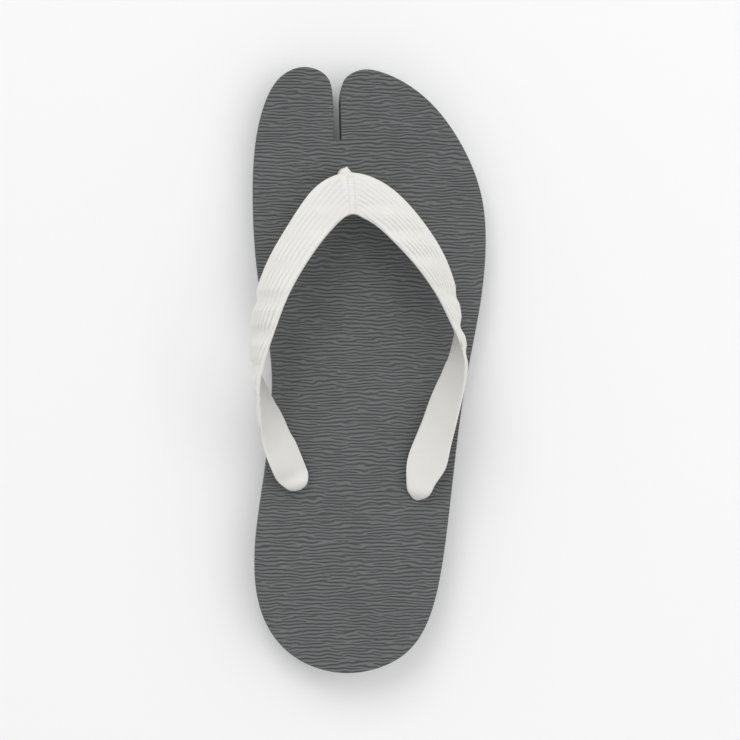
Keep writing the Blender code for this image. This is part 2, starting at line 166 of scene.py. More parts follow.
SLOT_MOUTH = SolePoint("slot mouth", 0.952, -0.144)
SLOT_END = SolePoint("slot end", 0.885, -0.1388)
TOE_HOLE = SolePoint("toe hole", 0.8239, -0.1079)
INNER_HOLE = SolePoint("inner rear hole", 0.3150, -0.3108)
OUTER_HOLE = SolePoint("outer rear hole", 0.2975, 0.2009)
SOLE_EDGE = (
    SolePoint("small toes, inner corner", 0.9775, -0.1145),
    SolePoint("small toes, inner shoulder", 0.9895, -0.0840),
    SolePoint("small toes, front", 0.9970, -0.0277),
    SolePoint("third toe", 0.9890, 0.0787),
    SolePoint("fourth toe", 0.9538, 0.2319),
    SolePoint("little toe", 0.8926, 0.3681),
    SolePoint("outer shoulder", 0.8143, 0.4651),
    SolePoint("outer ball", 0.7300, 0.4990),
    SolePoint("behind the outer ball", 0.6157, 0.4774),
    SolePoint("outer waist, front", 0.4733, 0.4080),
    SolePoint("outer waist, back", 0.3178, 0.3523),
    SolePoint("outer heel, front", 0.1854, 0.3089),
    SolePoint("outer heel", 0.0861, 0.2464),
    SolePoint("outer heel, back", 0.0257, 0.1298),
    SolePoint("heel back", 0.0000, -0.0940),
    SolePoint("inner heel, back", 0.0248, -0.3128),
    SolePoint("inner heel", 0.0872, -0.4489),
    SolePoint("inner heel, front", 0.1854, -0.4932),
    SolePoint("inner waist, back", 0.3178, -0.4549),
    SolePoint("inner waist, deepest", 0.4500, -0.4200),
    SolePoint("inner waist, front", 0.5300, -0.4260),
    SolePoint("behind the inner ball", 0.6455, -0.4745),
    SolePoint("inner ball", 0.7700, -0.5000),
    SolePoint("big toe, outer side", 0.8904, -0.4830),
    SolePoint("big toe, shoulder", 0.9682, -0.4149),
    SolePoint("big toe, front left", 0.9930, -0.3468),
    SolePoint("big toe, front", 1.0000, -0.2787),
    SolePoint("big toe, front right", 0.9928, -0.2106),
    SolePoint("big toe, inner corner", 0.9770, -0.1730),
)
SOLE_SIDE = (
    SideRow(0.00, 0.00, 0.00, 1.00),
    SideRow(0.18, 0.00, 0.00, 0.98),
    SideRow(0.30, 0.00, 0.30, 0.84),
    SideRow(0.42, 0.00, 1.00, 0.56),
    SideRow(0.50, 0.00, 0.80, 0.34),
    SideRow(0.58, 0.00, 0.00, 0.16),
    SideRow(0.70, 0.00, 0.00, 0.03),
    SideRow(0.82, 0.00, 0.00, 0.00),
    SideRow(0.90, 0.25, 0.00, 0.00),
    SideRow(1.00, 1.00, 0.00, 0.00),
)
print("points on the sole's edge:", len(SOLE_EDGE), "rows along its side:", len(SOLE_SIDE))

# %% Places and heights on the sole
SIDE_PLACES = [row.along for row in SOLE_SIDE]
spring_at = steady_curve(SIDE_PLACES, [row.spring for row in SOLE_SIDE])
arch_at = steady_curve(SIDE_PLACES, [row.arch for row in SOLE_SIDE])
heel_at = steady_curve(SIDE_PLACES, [row.heel for row in SOLE_SIDE])


def share_along(y):
    """How far along the sole a y lies, as a share of its length from the heel."""
    return y / SOLE_LENGTH + 0.5


def underside(y):
    along = share_along(y)
    return TOE_SPRING * spring_at(along) + ARCH_RISE * arch_at(along)


def footbed(y):
    along = share_along(y)
    thickness = TOE_THICKNESS + (HEEL_THICKNESS - TOE_THICKNESS) * heel_at(along)
    return TOE_SPRING * spring_at(along) + thickness


def sole_point(point):
    """A place on the sole in metres, seen from above, from its shares."""
    return np.array([point.across * BALL_WIDTH, (point.along - 0.5) * SOLE_LENGTH])


heel_and_toe = np.array([-0.5, 0.5]) * SOLE_LENGTH
print("footbed over the floor at heel and toe, mm:", (footbed(heel_and_toe) / MM).round(1))

# %% The outline as one ring
EDGE_STEPS = 40
EDGE_EVENNESS = 0.5
SLOT_STEPS = 48


def knots_along(points, power=1.0):
    """A knot for each point, as far apart as the points are, or more evenly with a power below 1."""
    steps = np.linalg.norm(np.diff(points, axis=0), axis=1) ** power
    return np.concatenate([[0.0], np.cumsum(steps)])


def sole_outline():
    """The edge from the slot's small-toe side round the heel to its big-toe side, then the slot's end."""
    mouth = sole_point(SLOT_MOUTH)
    end = sole_point(SLOT_END)
    back = (end - mouth) / np.linalg.norm(end - mouth)
    rim = np.array([-back[1], back[0]]) * SLOT_WIDTH / 2
    points = np.array([mouth + rim] + [sole_point(p) for p in SOLE_EDGE] + [mouth - rim])
    knots = knots_along(points, EDGE_EVENNESS)
    edge_at = natural_spline(knots, points)
    ring = []
    for first, last in zip(knots[:-1], knots[1:]):
        for step in range(EDGE_STEPS):
            ring.append(edge_at(first + (last - first) * step / EDGE_STEPS))
    ring.append(points[-1])
    for step in range(SLOT_STEPS + 1):
        turn = math.pi * step / SLOT_STEPS
        ring.append(end - rim * math.cos(turn) + back * SLOT_WIDTH / 2 * math.sin(turn))
    return np.array(ring)


def right_of(ring):
    """The direction to the right of the way that a closed ring runs, at each of its points."""
    along = np.roll(ring, -1, axis=0) - np.roll(ring, 1, axis=0)
    along /= np.linalg.norm(along, axis=1)[:, None]
    return np.stack([along[:, 1], -along[:, 0]], axis=1)


outline = sole_outline()
TO_FRAME = np.array([sole_low.x - outline[:, 0].min(), sole_low.y - outline[:, 1].min(), 0.0])
print("outline points:", len(outline), "moved by, mm:", (TO_FRAME / MM).round(2))

# %% [markdown]
# To carry a real ripple the sole needs a fine, even net of faces. Rows run across the foot, closer together
# where the outline turns round the heel and the toes. Beyond the slot's end each row falls into two lobes.
# The underside takes the same rows but only their ends, since its height changes only along the foot, and a
# rounded wall joins the two. The outline runs with the clock, so the sole lies on its right.

# %% Rows between the sole's edges
ROW_STEP = 0.28 * MM
ROW_EASE = 14
COLUMNS = 68

rim_ring = outline + right_of(outline) * RIM_ROUND
heel_tip = int(np.argmin(rim_ring[:, 1]))
big_tip = heel_tip + int(np.argmax(rim_ring[heel_tip:, 1]))
small_tip = int(np.argmax(rim_ring[:heel_tip, 1]))
slot_bottom = len(rim_ring) - 1 - SLOT_STEPS // 2


def edge_x(first, last):
    """X of the edge as a function of y, on the stretch of the ring from one point to another."""
    count = (last - first) % len(rim_ring)
    stretch = rim_ring[np.arange(first, first + count + 1) % len(rim_ring)]
    if stretch[0, 1] > stretch[-1, 1]:
        stretch = stretch[::-1]
    return lambda y: np.interp(y, stretch[:, 1], stretch[:, 0])


outer_x = edge_x(small_tip, heel_tip)
inner_x = edge_x(heel_tip, big_tip)
slot_big_x = edge_x(big_tip, slot_bottom)
slot_small_x = edge_x(slot_bottom, small_tip)


def eased_rows(start, stop, ease_start=True):
    """Values from start to stop, with the steps growing from the start and shrinking to the stop."""
    growing = ROW_STEP * np.arange(1, ROW_EASE + 1) ** 2 / (2 * ROW_EASE)
    first = start + growing if ease_start else np.array([start])
    last = (stop - growing)[::-1]
    count = int(math.ceil((last[0] - first[-1]) / ROW_STEP))
    middle = first[-1] + (last[0] - first[-1]) * np.arange(1, count) / count
    return np.concatenate([first, middle, last])


slot_y = rim_ring[slot_bottom, 1]
body_rows = np.append(eased_rows(rim_ring[heel_tip, 1], slot_y), slot_y)
big_rows = eased_rows(slot_y, rim_ring[big_tip, 1])
small_rows = eased_rows(slot_y, rim_ring[small_tip, 1])
split_share = (rim_ring[slot_bottom, 0] - inner_x(slot_y)) / (outer_x(slot_y) - inner_x(slot_y))
BIG_COLUMNS = int(round(COLUMNS * split_share))
print("rows:", len(body_rows), len(big_rows), len(small_rows), "columns for the big toe:", BIG_COLUMNS)


# %% The net seen from above
def spread(left, right, count):
    """For each row, evenly spaced values from its left edge to its right one."""
    return left[:, None] + (right - left)[:, None] * np.linspace(0.0, 1.0, count + 1)[None, :]


def row_points(xs, ys):
    """The points of a net, from the x of each point and the y of each row."""
    return np.stack([xs, np.repeat(ys[:, None], xs.shape[1], axis=1)], axis=2)


def quads_of(grid):
    """A quad for each cell of a grid of point numbers."""
    corners = (grid[:-1, :-1], grid[:-1, 1:], grid[1:, 1:], grid[1:, :-1])
    return np.stack([corner.ravel() for corner in corners], axis=1)


def strips_of(body_at, big_at, small_at):
    """One face for each row, from edge to edge, with more corners at the tips and at the slot's end."""
    strips = [np.append(body_at[0], body_at[1, [-1, 0]])]
    strips += list(quads_of(body_at[1:-1, [0, -1]]))
    strips.append(np.append(body_at[-2, [0, -1]], body_at[-1, [-1, BIG_COLUMNS, 0]]))
    for lobe in (big_at, small_at):
        strips += list(quads_of(lobe[:-1, [0, -1]]))
        strips.append(np.append(lobe[-2, [0, -1]], lobe[-1, ::-1]))
    return strips


def sole_net():
    """Points, quads, strips, and the net's closed edge, which runs against the clock seen from above."""
    left, right = inner_x(body_rows), outer_x(body_rows)
    split = left + (right - left) * split_share
    body_x = np.hstack([spread(left, split, BIG_COLUMNS), spread(split, right, COLUMNS - BIG_COLUMNS)[:, 1:]])
    body = row_points(body_x, body_rows)
    big = row_points(spread(inner_x(big_rows), slot_big_x(big_rows), BIG_COLUMNS), big_rows)
    small_x = spread(slot_small_x(small_rows), outer_x(small_rows), COLUMNS - BIG_COLUMNS)
    small = row_points(small_x, small_rows)
    points = np.vstack([part.reshape(-1, 2) for part in (body, big, small)])
    body_at = np.arange(body.shape[0] * body.shape[1]).reshape(body.shape[:2])
    big_at = body_at.size + np.arange(big.shape[0] * big.shape[1]).reshape(big.shape[:2])
    small_at = np.arange(small.shape[0] * small.shape[1]).reshape(small.shape[:2])
    small_at += body_at.size + big_at.size
    big_at = np.vstack([body_at[-1:, : BIG_COLUMNS + 1], big_at])
    small_at = np.vstack([body_at[-1:, BIG_COLUMNS:], small_at])
    fine = np.vstack([quads_of(grid) for grid in (body_at, big_at, small_at)])
    edge = np.concatenate(
        [
            body_at[0, :-1],
            body_at[:-1, -1],
            small_at[:-1, -1],
            small_at[-1, :0:-1],
            small_at[:0:-1, 0],
            big_at[:-1, -1],
            big_at[-1, :0:-1],
            big_at[:0:-1, 0],
            body_at[:0:-1, 0],
        ]
    )
    return points, fine, strips_of(body_at, big_at, small_at), edge


net_points, net_quads, net_strips, net_edge = sole_net()
print("net:", len(net_points), "points,", len(net_quads), "quads,", len(net_edge), "points on its edge")

# %% The sole as a closed mesh
RIM_STEPS = ((0.30, 0.05), (0.70, 0.30), (1.00, 1.00))


def mesh_from(name, points, faces):
    mesh = bpy.data.meshes.new(name)
    mesh.from_pydata([tuple(point) for point in points], [], [tuple(int(i) for i in face) for face in faces])
    mesh.validate()
    mesh.update()
    return mesh


def new_piece(name, mesh):
    piece = bpy.data.objects.new(name, mesh)
    bpy.context.scene.collection.objects.link(piece)
    return piece


def sole_mesh():
    """The net as the footbed, its rows' ends as the underside, and a wall that bulges out to the outline.

    The rim's steps are shares of its radius: how far out of the net's edge a ring of the wall lies, and how
    far below the footbed or above the underside.
    """
    edge = net_points[net_edge]
    outward = right_of(edge)
    top = np.column_stack([net_points, footbed(net_points[:, 1])])
    bottom = np.column_stack([edge, underside(edge[:, 1])])
    corners = np.full(len(net_points), -1)
    corners[net_edge] = len(net_points) + np.arange(len(edge))
    points = [top, bottom]
    rings = [net_edge]
    start = len(net_points) + len(edge)
    levels = [(out, 0.0, -step) for out, step in RIM_STEPS]
    levels += [(out, 1.0, step) for out, step in RIM_STEPS[::-1]]
    for out, share, step in levels:
        ring = edge + outward * out * RIM_ROUND
        high, low = footbed(edge[:, 1]), underside(edge[:, 1])
        points.append(np.column_stack([ring, high + share * (low - high) + step * RIM_ROUND]))
        rings.append(start + np.arange(len(edge)))
        start += len(edge)
    rings.append(corners[net_edge])
    faces = list(net_quads) + [corners[strip[::-1]] for strip in net_strips]
    for upper, lower in zip(rings[:-1], rings[1:]):
        faces += list(np.stack([upper, lower, np.roll(lower, -1), np.roll(upper, -1)], axis=1))
    return mesh_from("sole", np.vstack(points) + TO_FRAME, faces)


sole = new_piece("rubber_sole", sole_mesh())
print("sole faces:", len(sole.data.polygons))

# %% [markdown]
# The strap's post and stems pass through the sole and end in round plugs, set into the underside. The holes
# could be part of the net, but round edges would bend its rows. Cutting them with a Boolean modifier keeps
# the net even, and the Manifold solver does it in a moment on closed meshes.

# %% Holes for the strap
POST_DIAMETER = 6.6 * MM
STEM_DIAMETER = 7.0 * MM
PLUG_DIAMETER = 17.0 * MM
PLUG_THICKNESS = 3.2 * MM
PLUG_RECESS = 0.8 * MM
FIT = 0.3 * MM
CUTTER_OVERSHOOT = 2 * MM
HOLE_SIDES = 64


def round_ring(place, radius, z, sides=HOLE_SIDES):
    turns = 2 * math.pi * np.arange(sides) / sides
    return np.column_stack(
        [place[0] + radius * np.cos(turns), place[1] + radius * np.sin(turns), np.full(sides, z)]
    )


def loft(name, rings):
    """A closed mesh from rings of as many points each, faces out, with its two ends capped."""
    sides = len(rings[0])
    faces = []
    for row in range(len(rings) - 1):
        for i in range(sides):
            j = (i + 1) % sides
            low, high = row * sides, (row + 1) * sides
            faces.append((low + i, low + j, high + j, high + i))
    faces.append(tuple(range(sides))[::-1])
    faces.append(tuple(range((len(rings) - 1) * sides, len(rings) * sides)))
    mesh = mesh_from(name, np.vstack(rings) + TO_FRAME, faces)
    bm = bmesh.new()
    bm.from_mesh(mesh)
    bmesh.ops.recalc_face_normals(bm, faces=bm.faces)
    bm.to_mesh(mesh)
    bm.free()
    return mesh


def plug_heights(y):
    """The lower and the upper face of a plug, which is set a little into the underside."""
    low = float(underside(y)) + PLUG_RECESS
    return low, low + PLUG_THICKNESS


def boolean(piece, other, operation):
    """Cuts the other piece out of this one, or joins it to this one."""
    modifier = piece.modifiers.new(other.name, "BOOLEAN")
    modifier.operation = operation
    modifier.solver = "MANIFOLD"
    modifier.object = other


def hole_cutter(hole, diameter):
    place = sole_point(hole)
    ceiling = plug_heights(place[1])[1] + FIT
    wide = PLUG_DIAMETER / 2 + FIT
    narrow = diameter / 2 + FIT
    rings = [
        round_ring(place, wide, float(underside(place[1])) - CUTTER_OVERSHOOT),
        round_ring(place, wide, ceiling),
        round_ring(place, narrow, ceiling),
        round_ring(place, narrow, float(footbed(place[1])) + CUTTER_OVERSHOOT),
    ]
    return new_piece(hole.place.replace(" ", "_"), loft(hole.place, rings))


cutters = []
for hole, diameter in ((TOE_HOLE, POST_DIAMETER), (INNER_HOLE, STEM_DIAMETER), (OUTER_HOLE, STEM_DIAMETER)):
    cutters.append(hole_cutter(hole, diameter))
    boolean(sole, cutters[-1], "DIFFERENCE")


def make_plain(piece):
    """Makes what the modifiers give the piece's own mesh, and removes them."""
    graph = bpy.context.evaluated_depsgraph_get()
    mesh = bpy.data.meshes.new_from_object(piece.evaluated_get(graph), depsgraph=graph)
    piece.modifiers.clear()
    piece.data = mesh


make_plain(sole)
for cutter in cutters:
    bpy.data.objects.remove(cutter)
print("sole faces with holes:", len(sole.data.polygons))

# %% [markdown]
# The footbed is embossed with a fine ripple that runs across the foot. Its lines waver, split and close up
# again, like ripples in sand. An even wave would look like a ruled sheet, and a distorted Wave Texture can
# bend lines but never split them. Here two slow noises steer one fast wave: they say how much of its sine
# and of its cosine to take, and where both are nearly nothing a line ends or forks. The same few nodes are
# built twice, in the Geometry Nodes that carve the net and in the material that darkens the grooves.


# %% Node helpers
def join_value(tree, value, socket):
    """Links a socket to another one, or sets it to a number or colour."""
    if isinstance(value, bpy.types.NodeSocket):
        tree.links.new(value, socket)
    else:
        socket.default_value = value


def calculate(tree, operation, *values):
    """A Math node on numbers or sockets."""
    made = tree.nodes.new("ShaderNodeMath")
    made.operation = operation
    for value, socket in zip(values, made.inputs):
        join_value(tree, value, socket)
    return made.outputs[0]


def negative(tree, value):
    return calculate(tree, "MULTIPLY", value, -1.0)


def length_of(tree, x, y):
    """The length of a flat vector, from its two parts."""
    squares = [calculate(tree, "POWER", part, 2.0) for part in (x, y)]
    return calculate(tree, "SQRT", calculate(tree, "ADD", *squares))


def combine(tree, x, y, z):
    made = tree.nodes.new("ShaderNodeCombineXYZ")
    for value, socket in zip((x, y, z), made.inputs):
        join_value(tree, value, socket)
    return made.outputs[0]


def separate(tree, vector):
    made = tree.nodes.new("ShaderNodeSeparateXYZ")
    tree.links.new(vector, made.inputs[0])
    return made.outputs


def noise(tree, vector, scale, detail=2.0, seed=0.0):
    made = tree.nodes.new("ShaderNodeTexNoise")
    made.noise_dimensions = "4D"
    join_value(tree, vector, made.inputs["Vector"])
    join_value(tree, seed, made.inputs["W"])
    made.inputs["Scale"].default_value = scale
    made.inputs["Detail"].default_value = detail
    return made.outputs[0]


def smooth_between(tree, value, low, high):
    """0 below low, 1 above high and a smooth step between them."""
    made = tree.nodes.new("ShaderNodeMapRange")
    made.interpolation_type = "SMOOTHSTEP"
    join_value(tree, value, made.inputs["Value"])
    made.inputs["From Min"].default_value = low
    made.inputs["From Max"].default_value = high
    return made.outputs[0]


# %% The ripple's nodes
RIPPLE_PITCH = 1.5 * MM
RIPPLE_RUN = 10 * MM
RIPPLE_SPREAD = 3.4 * MM
RIPPLE_WAVER = 6.5 * MM
RIPPLE_SWING = 2.2 * MM
RIPPLE_CALM = 0.015
RIPPLE_SHARPNESS = 1.8
RIPPLE_SEED = 4.0
RIPPLE_SEED_STEP = 7.3


def swing(tree, vector, scale, detail, seed):
    """A noise that swings round 0 instead of round a half."""
    return calculate(tree, "SUBTRACT", noise(tree, vector, scale, detail, seed), 0.5)


def ripple(tree, position, pitch, seed):
    """0 on the ripple's ridges and 1 in its grooves, at a position in metres."""
    x, y, _ = separate(tree, position)
    along = calculate(tree, "DIVIDE", x, RIPPLE_RUN)
    slow = combine(tree, along, calculate(tree, "DIVIDE", y, RIPPLE_SPREAD), 0.0)
    sine_share = swing(tree, slow, 1.0, 0.0, seed)
    other_seed = calculate(tree, "ADD", seed, RIPPLE_SEED_STEP)
    cosine_share = swing(tree, slow, 1.0, 0.0, other_seed)
    waver = swing(tree, position, 1 / RIPPLE_WAVER, 1.0, seed)
    shifted = calculate(tree, "MULTIPLY_ADD", waver, RIPPLE_SWING, y)
    turn = calculate(tree, "MULTIPLY", calculate(tree, "DIVIDE", shifted, pitch), 2 * math.pi)
    sine = calculate(tree, "MULTIPLY", sine_share, calculate(tree, "SINE", turn))
    cosine = calculate(tree, "MULTIPLY", cosine_share, calculate(tree, "COSINE", turn))
    strength = calculate(tree, "ADD", length_of(tree, sine_share, cosine_share), RIPPLE_CALM)
    wave = calculate(tree, "DIVIDE", calculate(tree, "ADD", sine, cosine), strength)
    half = calculate(tree, "MULTIPLY_ADD", wave, 0.5, 0.5)
    return calculate(tree, "POWER", half, RIPPLE_SHARPNESS)


print("ridges along the sole:", round(SOLE_LENGTH / RIPPLE_PITCH))


# %% Helpers for Geometry Nodes
def new_tree(name, inputs):
    """A Geometry Nodes tree with a geometry in and out, and a named number for each size."""
    tree = bpy.data.node_groups.new(name, "GeometryNodeTree")
    tree.interface.new_socket("Geometry", in_out="INPUT", socket_type="NodeSocketGeometry")
    tree.interface.new_socket("Geometry", in_out="OUTPUT", socket_type="NodeSocketGeometry")
    for label, value in inputs.items():
        kind = "NodeSocketInt" if isinstance(value, int) else "NodeSocketFloat"
        tree.interface.new_socket(label, in_out="INPUT", socket_type=kind).default_value = value
    return tree, tree.nodes.new("NodeGroupInput").outputs


def end_tree(tree, geometry, material):
    """Realizes what the tree made, gives it its material and hands it out."""
    realize = tree.nodes.new("GeometryNodeRealizeInstances")
    finish = tree.nodes.new("GeometryNodeSetMaterial")
    finish.inputs["Material"].default_value = material
    tree.links.new(geometry, realize.inputs[0])
    tree.links.new(realize.outputs[0], finish.inputs["Geometry"])
    tree.links.new(finish.outputs[0], tree.nodes.new("NodeGroupOutput").inputs[0])


def run_tree(piece, tree, values):
    """Adds the tree to the piece, sets its named inputs and makes the result plain."""
    modifier = piece.modifiers.new(tree.name, "NODES")
    modifier.node_group = tree
    for item in tree.interface.items_tree:
        if item.in_out == "INPUT" and item.name in values:
            modifier[item.identifier] = values[item.name]
    make_plain(piece)


def field_node(tree, kind):
    return tree.nodes.new(kind).outputs[0]


def move_points(tree, geometry, offset):
    move = tree.nodes.new("GeometryNodeSetPosition")
    tree.links.new(geometry, move.inputs["Geometry"])
    tree.links.new(offset, move.inputs["Offset"])
    return move.outputs[0]


# %% Geometry Nodes for the ripple
RIPPLE_DEPTH = 0.42 * MM
FLAT_FROM = 0.88
FLAT_TO = 0.94


def ripple_tree(values, material):
    """Presses the grooves into the faces that look up, and leaves the rim smooth."""
    tree, given = new_tree("sole ripple", values)
    position = field_node(tree, "GeometryNodeInputPosition")
    grooves = ripple(tree, position, given["Pitch"], given["Seed"])
    up = separate(tree, field_node(tree, "GeometryNodeInputNormal"))["Z"]
    over = negative(tree, smooth_between(tree, up, FLAT_FROM, FLAT_TO))
    carve = calculate(tree, "MULTIPLY", over, given["Depth"])
    offset = combine(tree, 0.0, 0.0, calculate(tree, "MULTIPLY", carve, grooves))
    end_tree(tree, move_points(tree, given["Geometry"], offset), material)
    return tree


print("ripple, mm deep:", round(RIPPLE_DEPTH / MM, 2))

# %% [markdown]
# Sponge rubber is matt and dark grey, and under a lens its skin is finely pitted. The colour follows the
# ripple's own nodes and paints shade into its grooves, far darker than its ridges. A slow noise makes it a
# touch uneven, and a fine noise drives a bump that breaks the light up.


# %% Material helpers
def new_material(name):
    """A material, its tree and its Principled shader."""
    material = bpy.data.materials.new(name)
    material.use_nodes = True
    return material, material.node_tree, material.node_tree.nodes["Principled BSDF"]


def object_place(tree):
    return tree.nodes.new("ShaderNodeTexCoord").outputs["Object"]


def mix_colours(tree, share, first, second):
    """The first colour at a share of 0 and the second at 1."""
    made = tree.nodes.new("ShaderNodeMix")
    made.data_type = "RGBA"
    join_value(tree, share, made.inputs[0])
    join_value(tree, first, made.inputs[6])
    join_value(tree, second, made.inputs[7])
    return made.outputs[2]


def bump(tree, height, distance):
    made = tree.nodes.new("ShaderNodeBump")
    made.inputs["Distance"].default_value = distance
    tree.links.new(height, made.inputs["Height"])
    return made.outputs[0]


# %% Sponge rubber
SPONGE_RIDGE = (0.160, 0.167, 0.168, 1.0)
SPONGE_GROOVE_SHADE = (0.041, 0.043, 0.044, 1.0)
SPONGE_EDGE = (0.118, 0.122, 0.122, 1.0)
SPONGE_ROUGHNESS = 0.68
SPONGE_CLOUDS = 60.0
CLOUD_DETAIL = 3.0
WALL_TO = 0.3
FACE_FROM = 0.6
PORE_SCALE = 2600.0
PORE_DEPTH = 0.05 * MM
SHARP_ANGLE = math.radians(50)


def sponge_rubber():
    material, tree, shader = new_material("sponge_rubber")
    place = object_place(tree)
    grooves = ripple(tree, place, RIPPLE_PITCH, RIPPLE_SEED)
    uneven = noise(tree, place, SPONGE_CLOUDS, CLOUD_DETAIL)
    ridge = mix_colours(tree, uneven, SPONGE_EDGE, SPONGE_RIDGE)
    # painted shade: the ripple's grooves are coloured far darker than its ridges, on top of the carved relief
    face = mix_colours(tree, grooves, ridge, SPONGE_GROOVE_SHADE)
    normal = separate(tree, tree.nodes.new("ShaderNodeNewGeometry").outputs["Normal"])
    flat = smooth_between(tree, calculate(tree, "ABSOLUTE", normal["Z"]), WALL_TO, FACE_FROM)
    tree.links.new(mix_colours(tree, flat, SPONGE_EDGE, face), shader.inputs["Base Color"])
    tree.links.new(bump(tree, noise(tree, place, PORE_SCALE), PORE_DEPTH), shader.inputs["Normal"])
    shader.inputs["Roughness"].default_value = SPONGE_ROUGHNESS
    return material


def shade_and_count(piece):
    """Shades a piece smooth but for its crisp edges, and says how many triangles it has."""
    piece.data.shade_smooth()
    piece.data.set_sharp_from_angle(angle=SHARP_ANGLE)
    print(piece.name, "triangles:", sum(len(face.vertices) - 2 for face in piece.data.polygons))


sponge = sponge_rubber()
ripple_values = {"Pitch": RIPPLE_PITCH, "Depth": RIPPLE_DEPTH, "Seed": RIPPLE_SEED}
run_tree(sole, ripple_tree(ripple_values, sponge), ripple_values)
shade_and_count(sole)

# %% [markdown]
# The strap is moulded whole. Its band starts level at the seam over the toe post, leans up along each arm,
# turns over beside the foot and ends with its smooth inner side up, on a stem. A table holds a row for each
# stretch of that path, as in the solid, and a section is swept along it. Here the sweep is much finer, so
# that it can carry the ribs, and it keeps for each point which rib it lies on.

# %% The strap's tables
STRAP_RISE = 27.2 * MM
BAND_WIDTH = 18.0 * MM
BAND_THICKNESS = 3.2 * MM
BAND_CROWN = 0.6 * MM
SEGMENT_DEPTH = 0.7 * MM
POST_LEAN = 1.8 * MM
POST_PROUD = 0.9 * MM
STEM_SHOULDER = 1.0 * MM
ROUND = 2.0

ArmRow = namedtuple("ArmRow", "place across back rise bearing lean width thick square")
STRAP_ROWS = (
    ArmRow("inner tip", -0.411, 0.966, 0.125, 108, 170, 0.56, 1.90, 2.4),
    ArmRow("inner end", -0.438, 0.950, 0.195, 108, 158, 0.78, 1.10, 3.2),
    ArmRow("inner rear, low", -0.476, 0.923, 0.28, 108, 148, 0.92, 0.95, 4.0),
    ArmRow("inner rear", -0.544, 0.860, 0.40, 108, 142, 0.98, 0.90, 4.5),
    ArmRow("inner side, back", -0.612, 0.790, 0.54, 108, 129, 1.00, 0.90, 5.0),
    ArmRow("inner side, middle", -0.669, 0.722, 0.70, 106, 113, 1.00, 0.95, 5.0),
    ArmRow("inner side, upright", -0.716, 0.655, 0.83, 99, 97, 0.98, 1.00, 5.0),
    ArmRow("inner side, front", -0.715, 0.578, 0.94, 89, 77, 0.98, 1.00, 5.0),
    ArmRow("inner arm, highest", -0.681, 0.498, 0.99, 79, 60, 1.00, 1.00, 5.0),
    ArmRow("inner arm, back", -0.630, 0.416, 1.00, 72, 50, 1.02, 1.00, 5.0),
    ArmRow("inner arm, middle", -0.562, 0.346, 0.98, 66, 43, 1.02, 1.00, 5.0),
    ArmRow("inner arm, front", -0.484, 0.287, 0.94, 60, 38, 1.02, 1.00, 5.0),
    ArmRow("inner front, back", -0.359, 0.210, 0.86, 55, 33, 1.02, 1.00, 5.0),
    ArmRow("inner front", -0.230, 0.141, 0.76, 48, 26, 1.05, 1.05, 5.0),
    ArmRow("beside the seam, inner", -0.116, 0.095, 0.67, 32, 17, 1.05, 1.10, 5.0),
    ArmRow("seam", 0.038, 0.073, 0.60, 7, 14, 1.05, 1.12, 5.0),
    ArmRow("beside the seam, outer", 0.191, 0.090, 0.66, -20, 14, 1.03, 1.10, 5.0),
    ArmRow("outer front", 0.317, 0.124, 0.76, -38, 21, 1.02, 1.05, 5.0),
    ArmRow("outer front, back", 0.438, 0.172, 0.86, -47, 28, 1.02, 1.00, 5.0),
    ArmRow("outer arm, front", 0.545, 0.222, 0.93, -52, 34, 1.01, 1.00, 5.0),
    ArmRow("outer arm, middle", 0.641, 0.273, 0.98, -57, 41, 1.00, 1.00, 5.0),
    ArmRow("outer arm, back", 0.716, 0.322, 1.00, -62, 49, 1.00, 1.00, 5.0),
    ArmRow("outer arm, highest", 0.782, 0.375, 1.00, -67, 58, 1.00, 1.00, 5.0),
    ArmRow("outer side, front", 0.856, 0.451, 0.97, -75, 72, 1.00, 1.00, 5.0),
    ArmRow("outer side, upright", 0.904, 0.526, 0.89, -85, 93, 0.98, 1.00, 5.0),
    ArmRow("outer side, turned", 0.904, 0.585, 0.79, -93, 110, 0.97, 1.00, 5.0),
    ArmRow("outer side, middle", 0.880, 0.636, 0.67, -101, 121, 0.95, 0.95, 5.0),
    ArmRow("outer side, back", 0.829, 0.703, 0.52, -105, 133, 0.95, 0.90, 5.0),
    ArmRow("outer rear", 0.772, 0.781, 0.385, -106, 143, 0.94, 0.90, 4.5),
    ArmRow("outer rear, low", 0.715, 0.851, 0.28, -107, 154, 0.96, 0.90, 4.0),
    ArmRow("outer end, wide", 0.664, 0.914, 0.21, -107, 160, 0.96, 0.95, 3.6),
    ArmRow("outer end", 0.617, 0.969, 0.16, -106, 166, 0.70, 1.15, 2.8),
    ArmRow("outer tip", 0.606, 0.994, 0.115, -105, 172, 0.56, 1.50, 2.4),
)
SEAM = [row.place for row in STRAP_ROWS].index("seam")
INNER_DIVISIONS = (0.130, 0.214, 0.305, 0.408, 0.511, 0.614, 0.707, 0.801)
OUTER_DIVISIONS = (0.130, 0.214, 0.292, 0.387, 0.485, 0.568)
DIVISION_REACH = 0.045
print("rows of the strap:", len(STRAP_ROWS))
print("lines between segments:", len(INNER_DIVISIONS), "inside,", len(OUTER_DIVISIONS), "outside")

# %% [markdown]
# The band isn't an even strip. It is moulded in segments that swell between the lines where they meet, and
# its ribs follow its edge on the side of the V. So each point is measured in two ways: how far back it lies
# says how near such a line is, and how far it is from that edge says which rib it is on.

# %% Where the ribs lie
RIB_LOW = -0.86
RIB_EDGE = 0.2
RIB_START = 1.3 * MM
RIB_FADE = (0.3, 0.8)
RIB_GAP = (0.1, 0.6)
RIB_LEFT = 0.3
SEAM_HALF = 2.4 * MM
SEAM_FADE = 0.9 * MM
toe_place = sole_point(TOE_HOLE)
hole_spacing = sole_point(OUTER_HOLE)[0] - sole_point(INNER_HOLE)[0]
strap_reach = toe_place[1] - sole_point(OUTER_HOLE)[1]


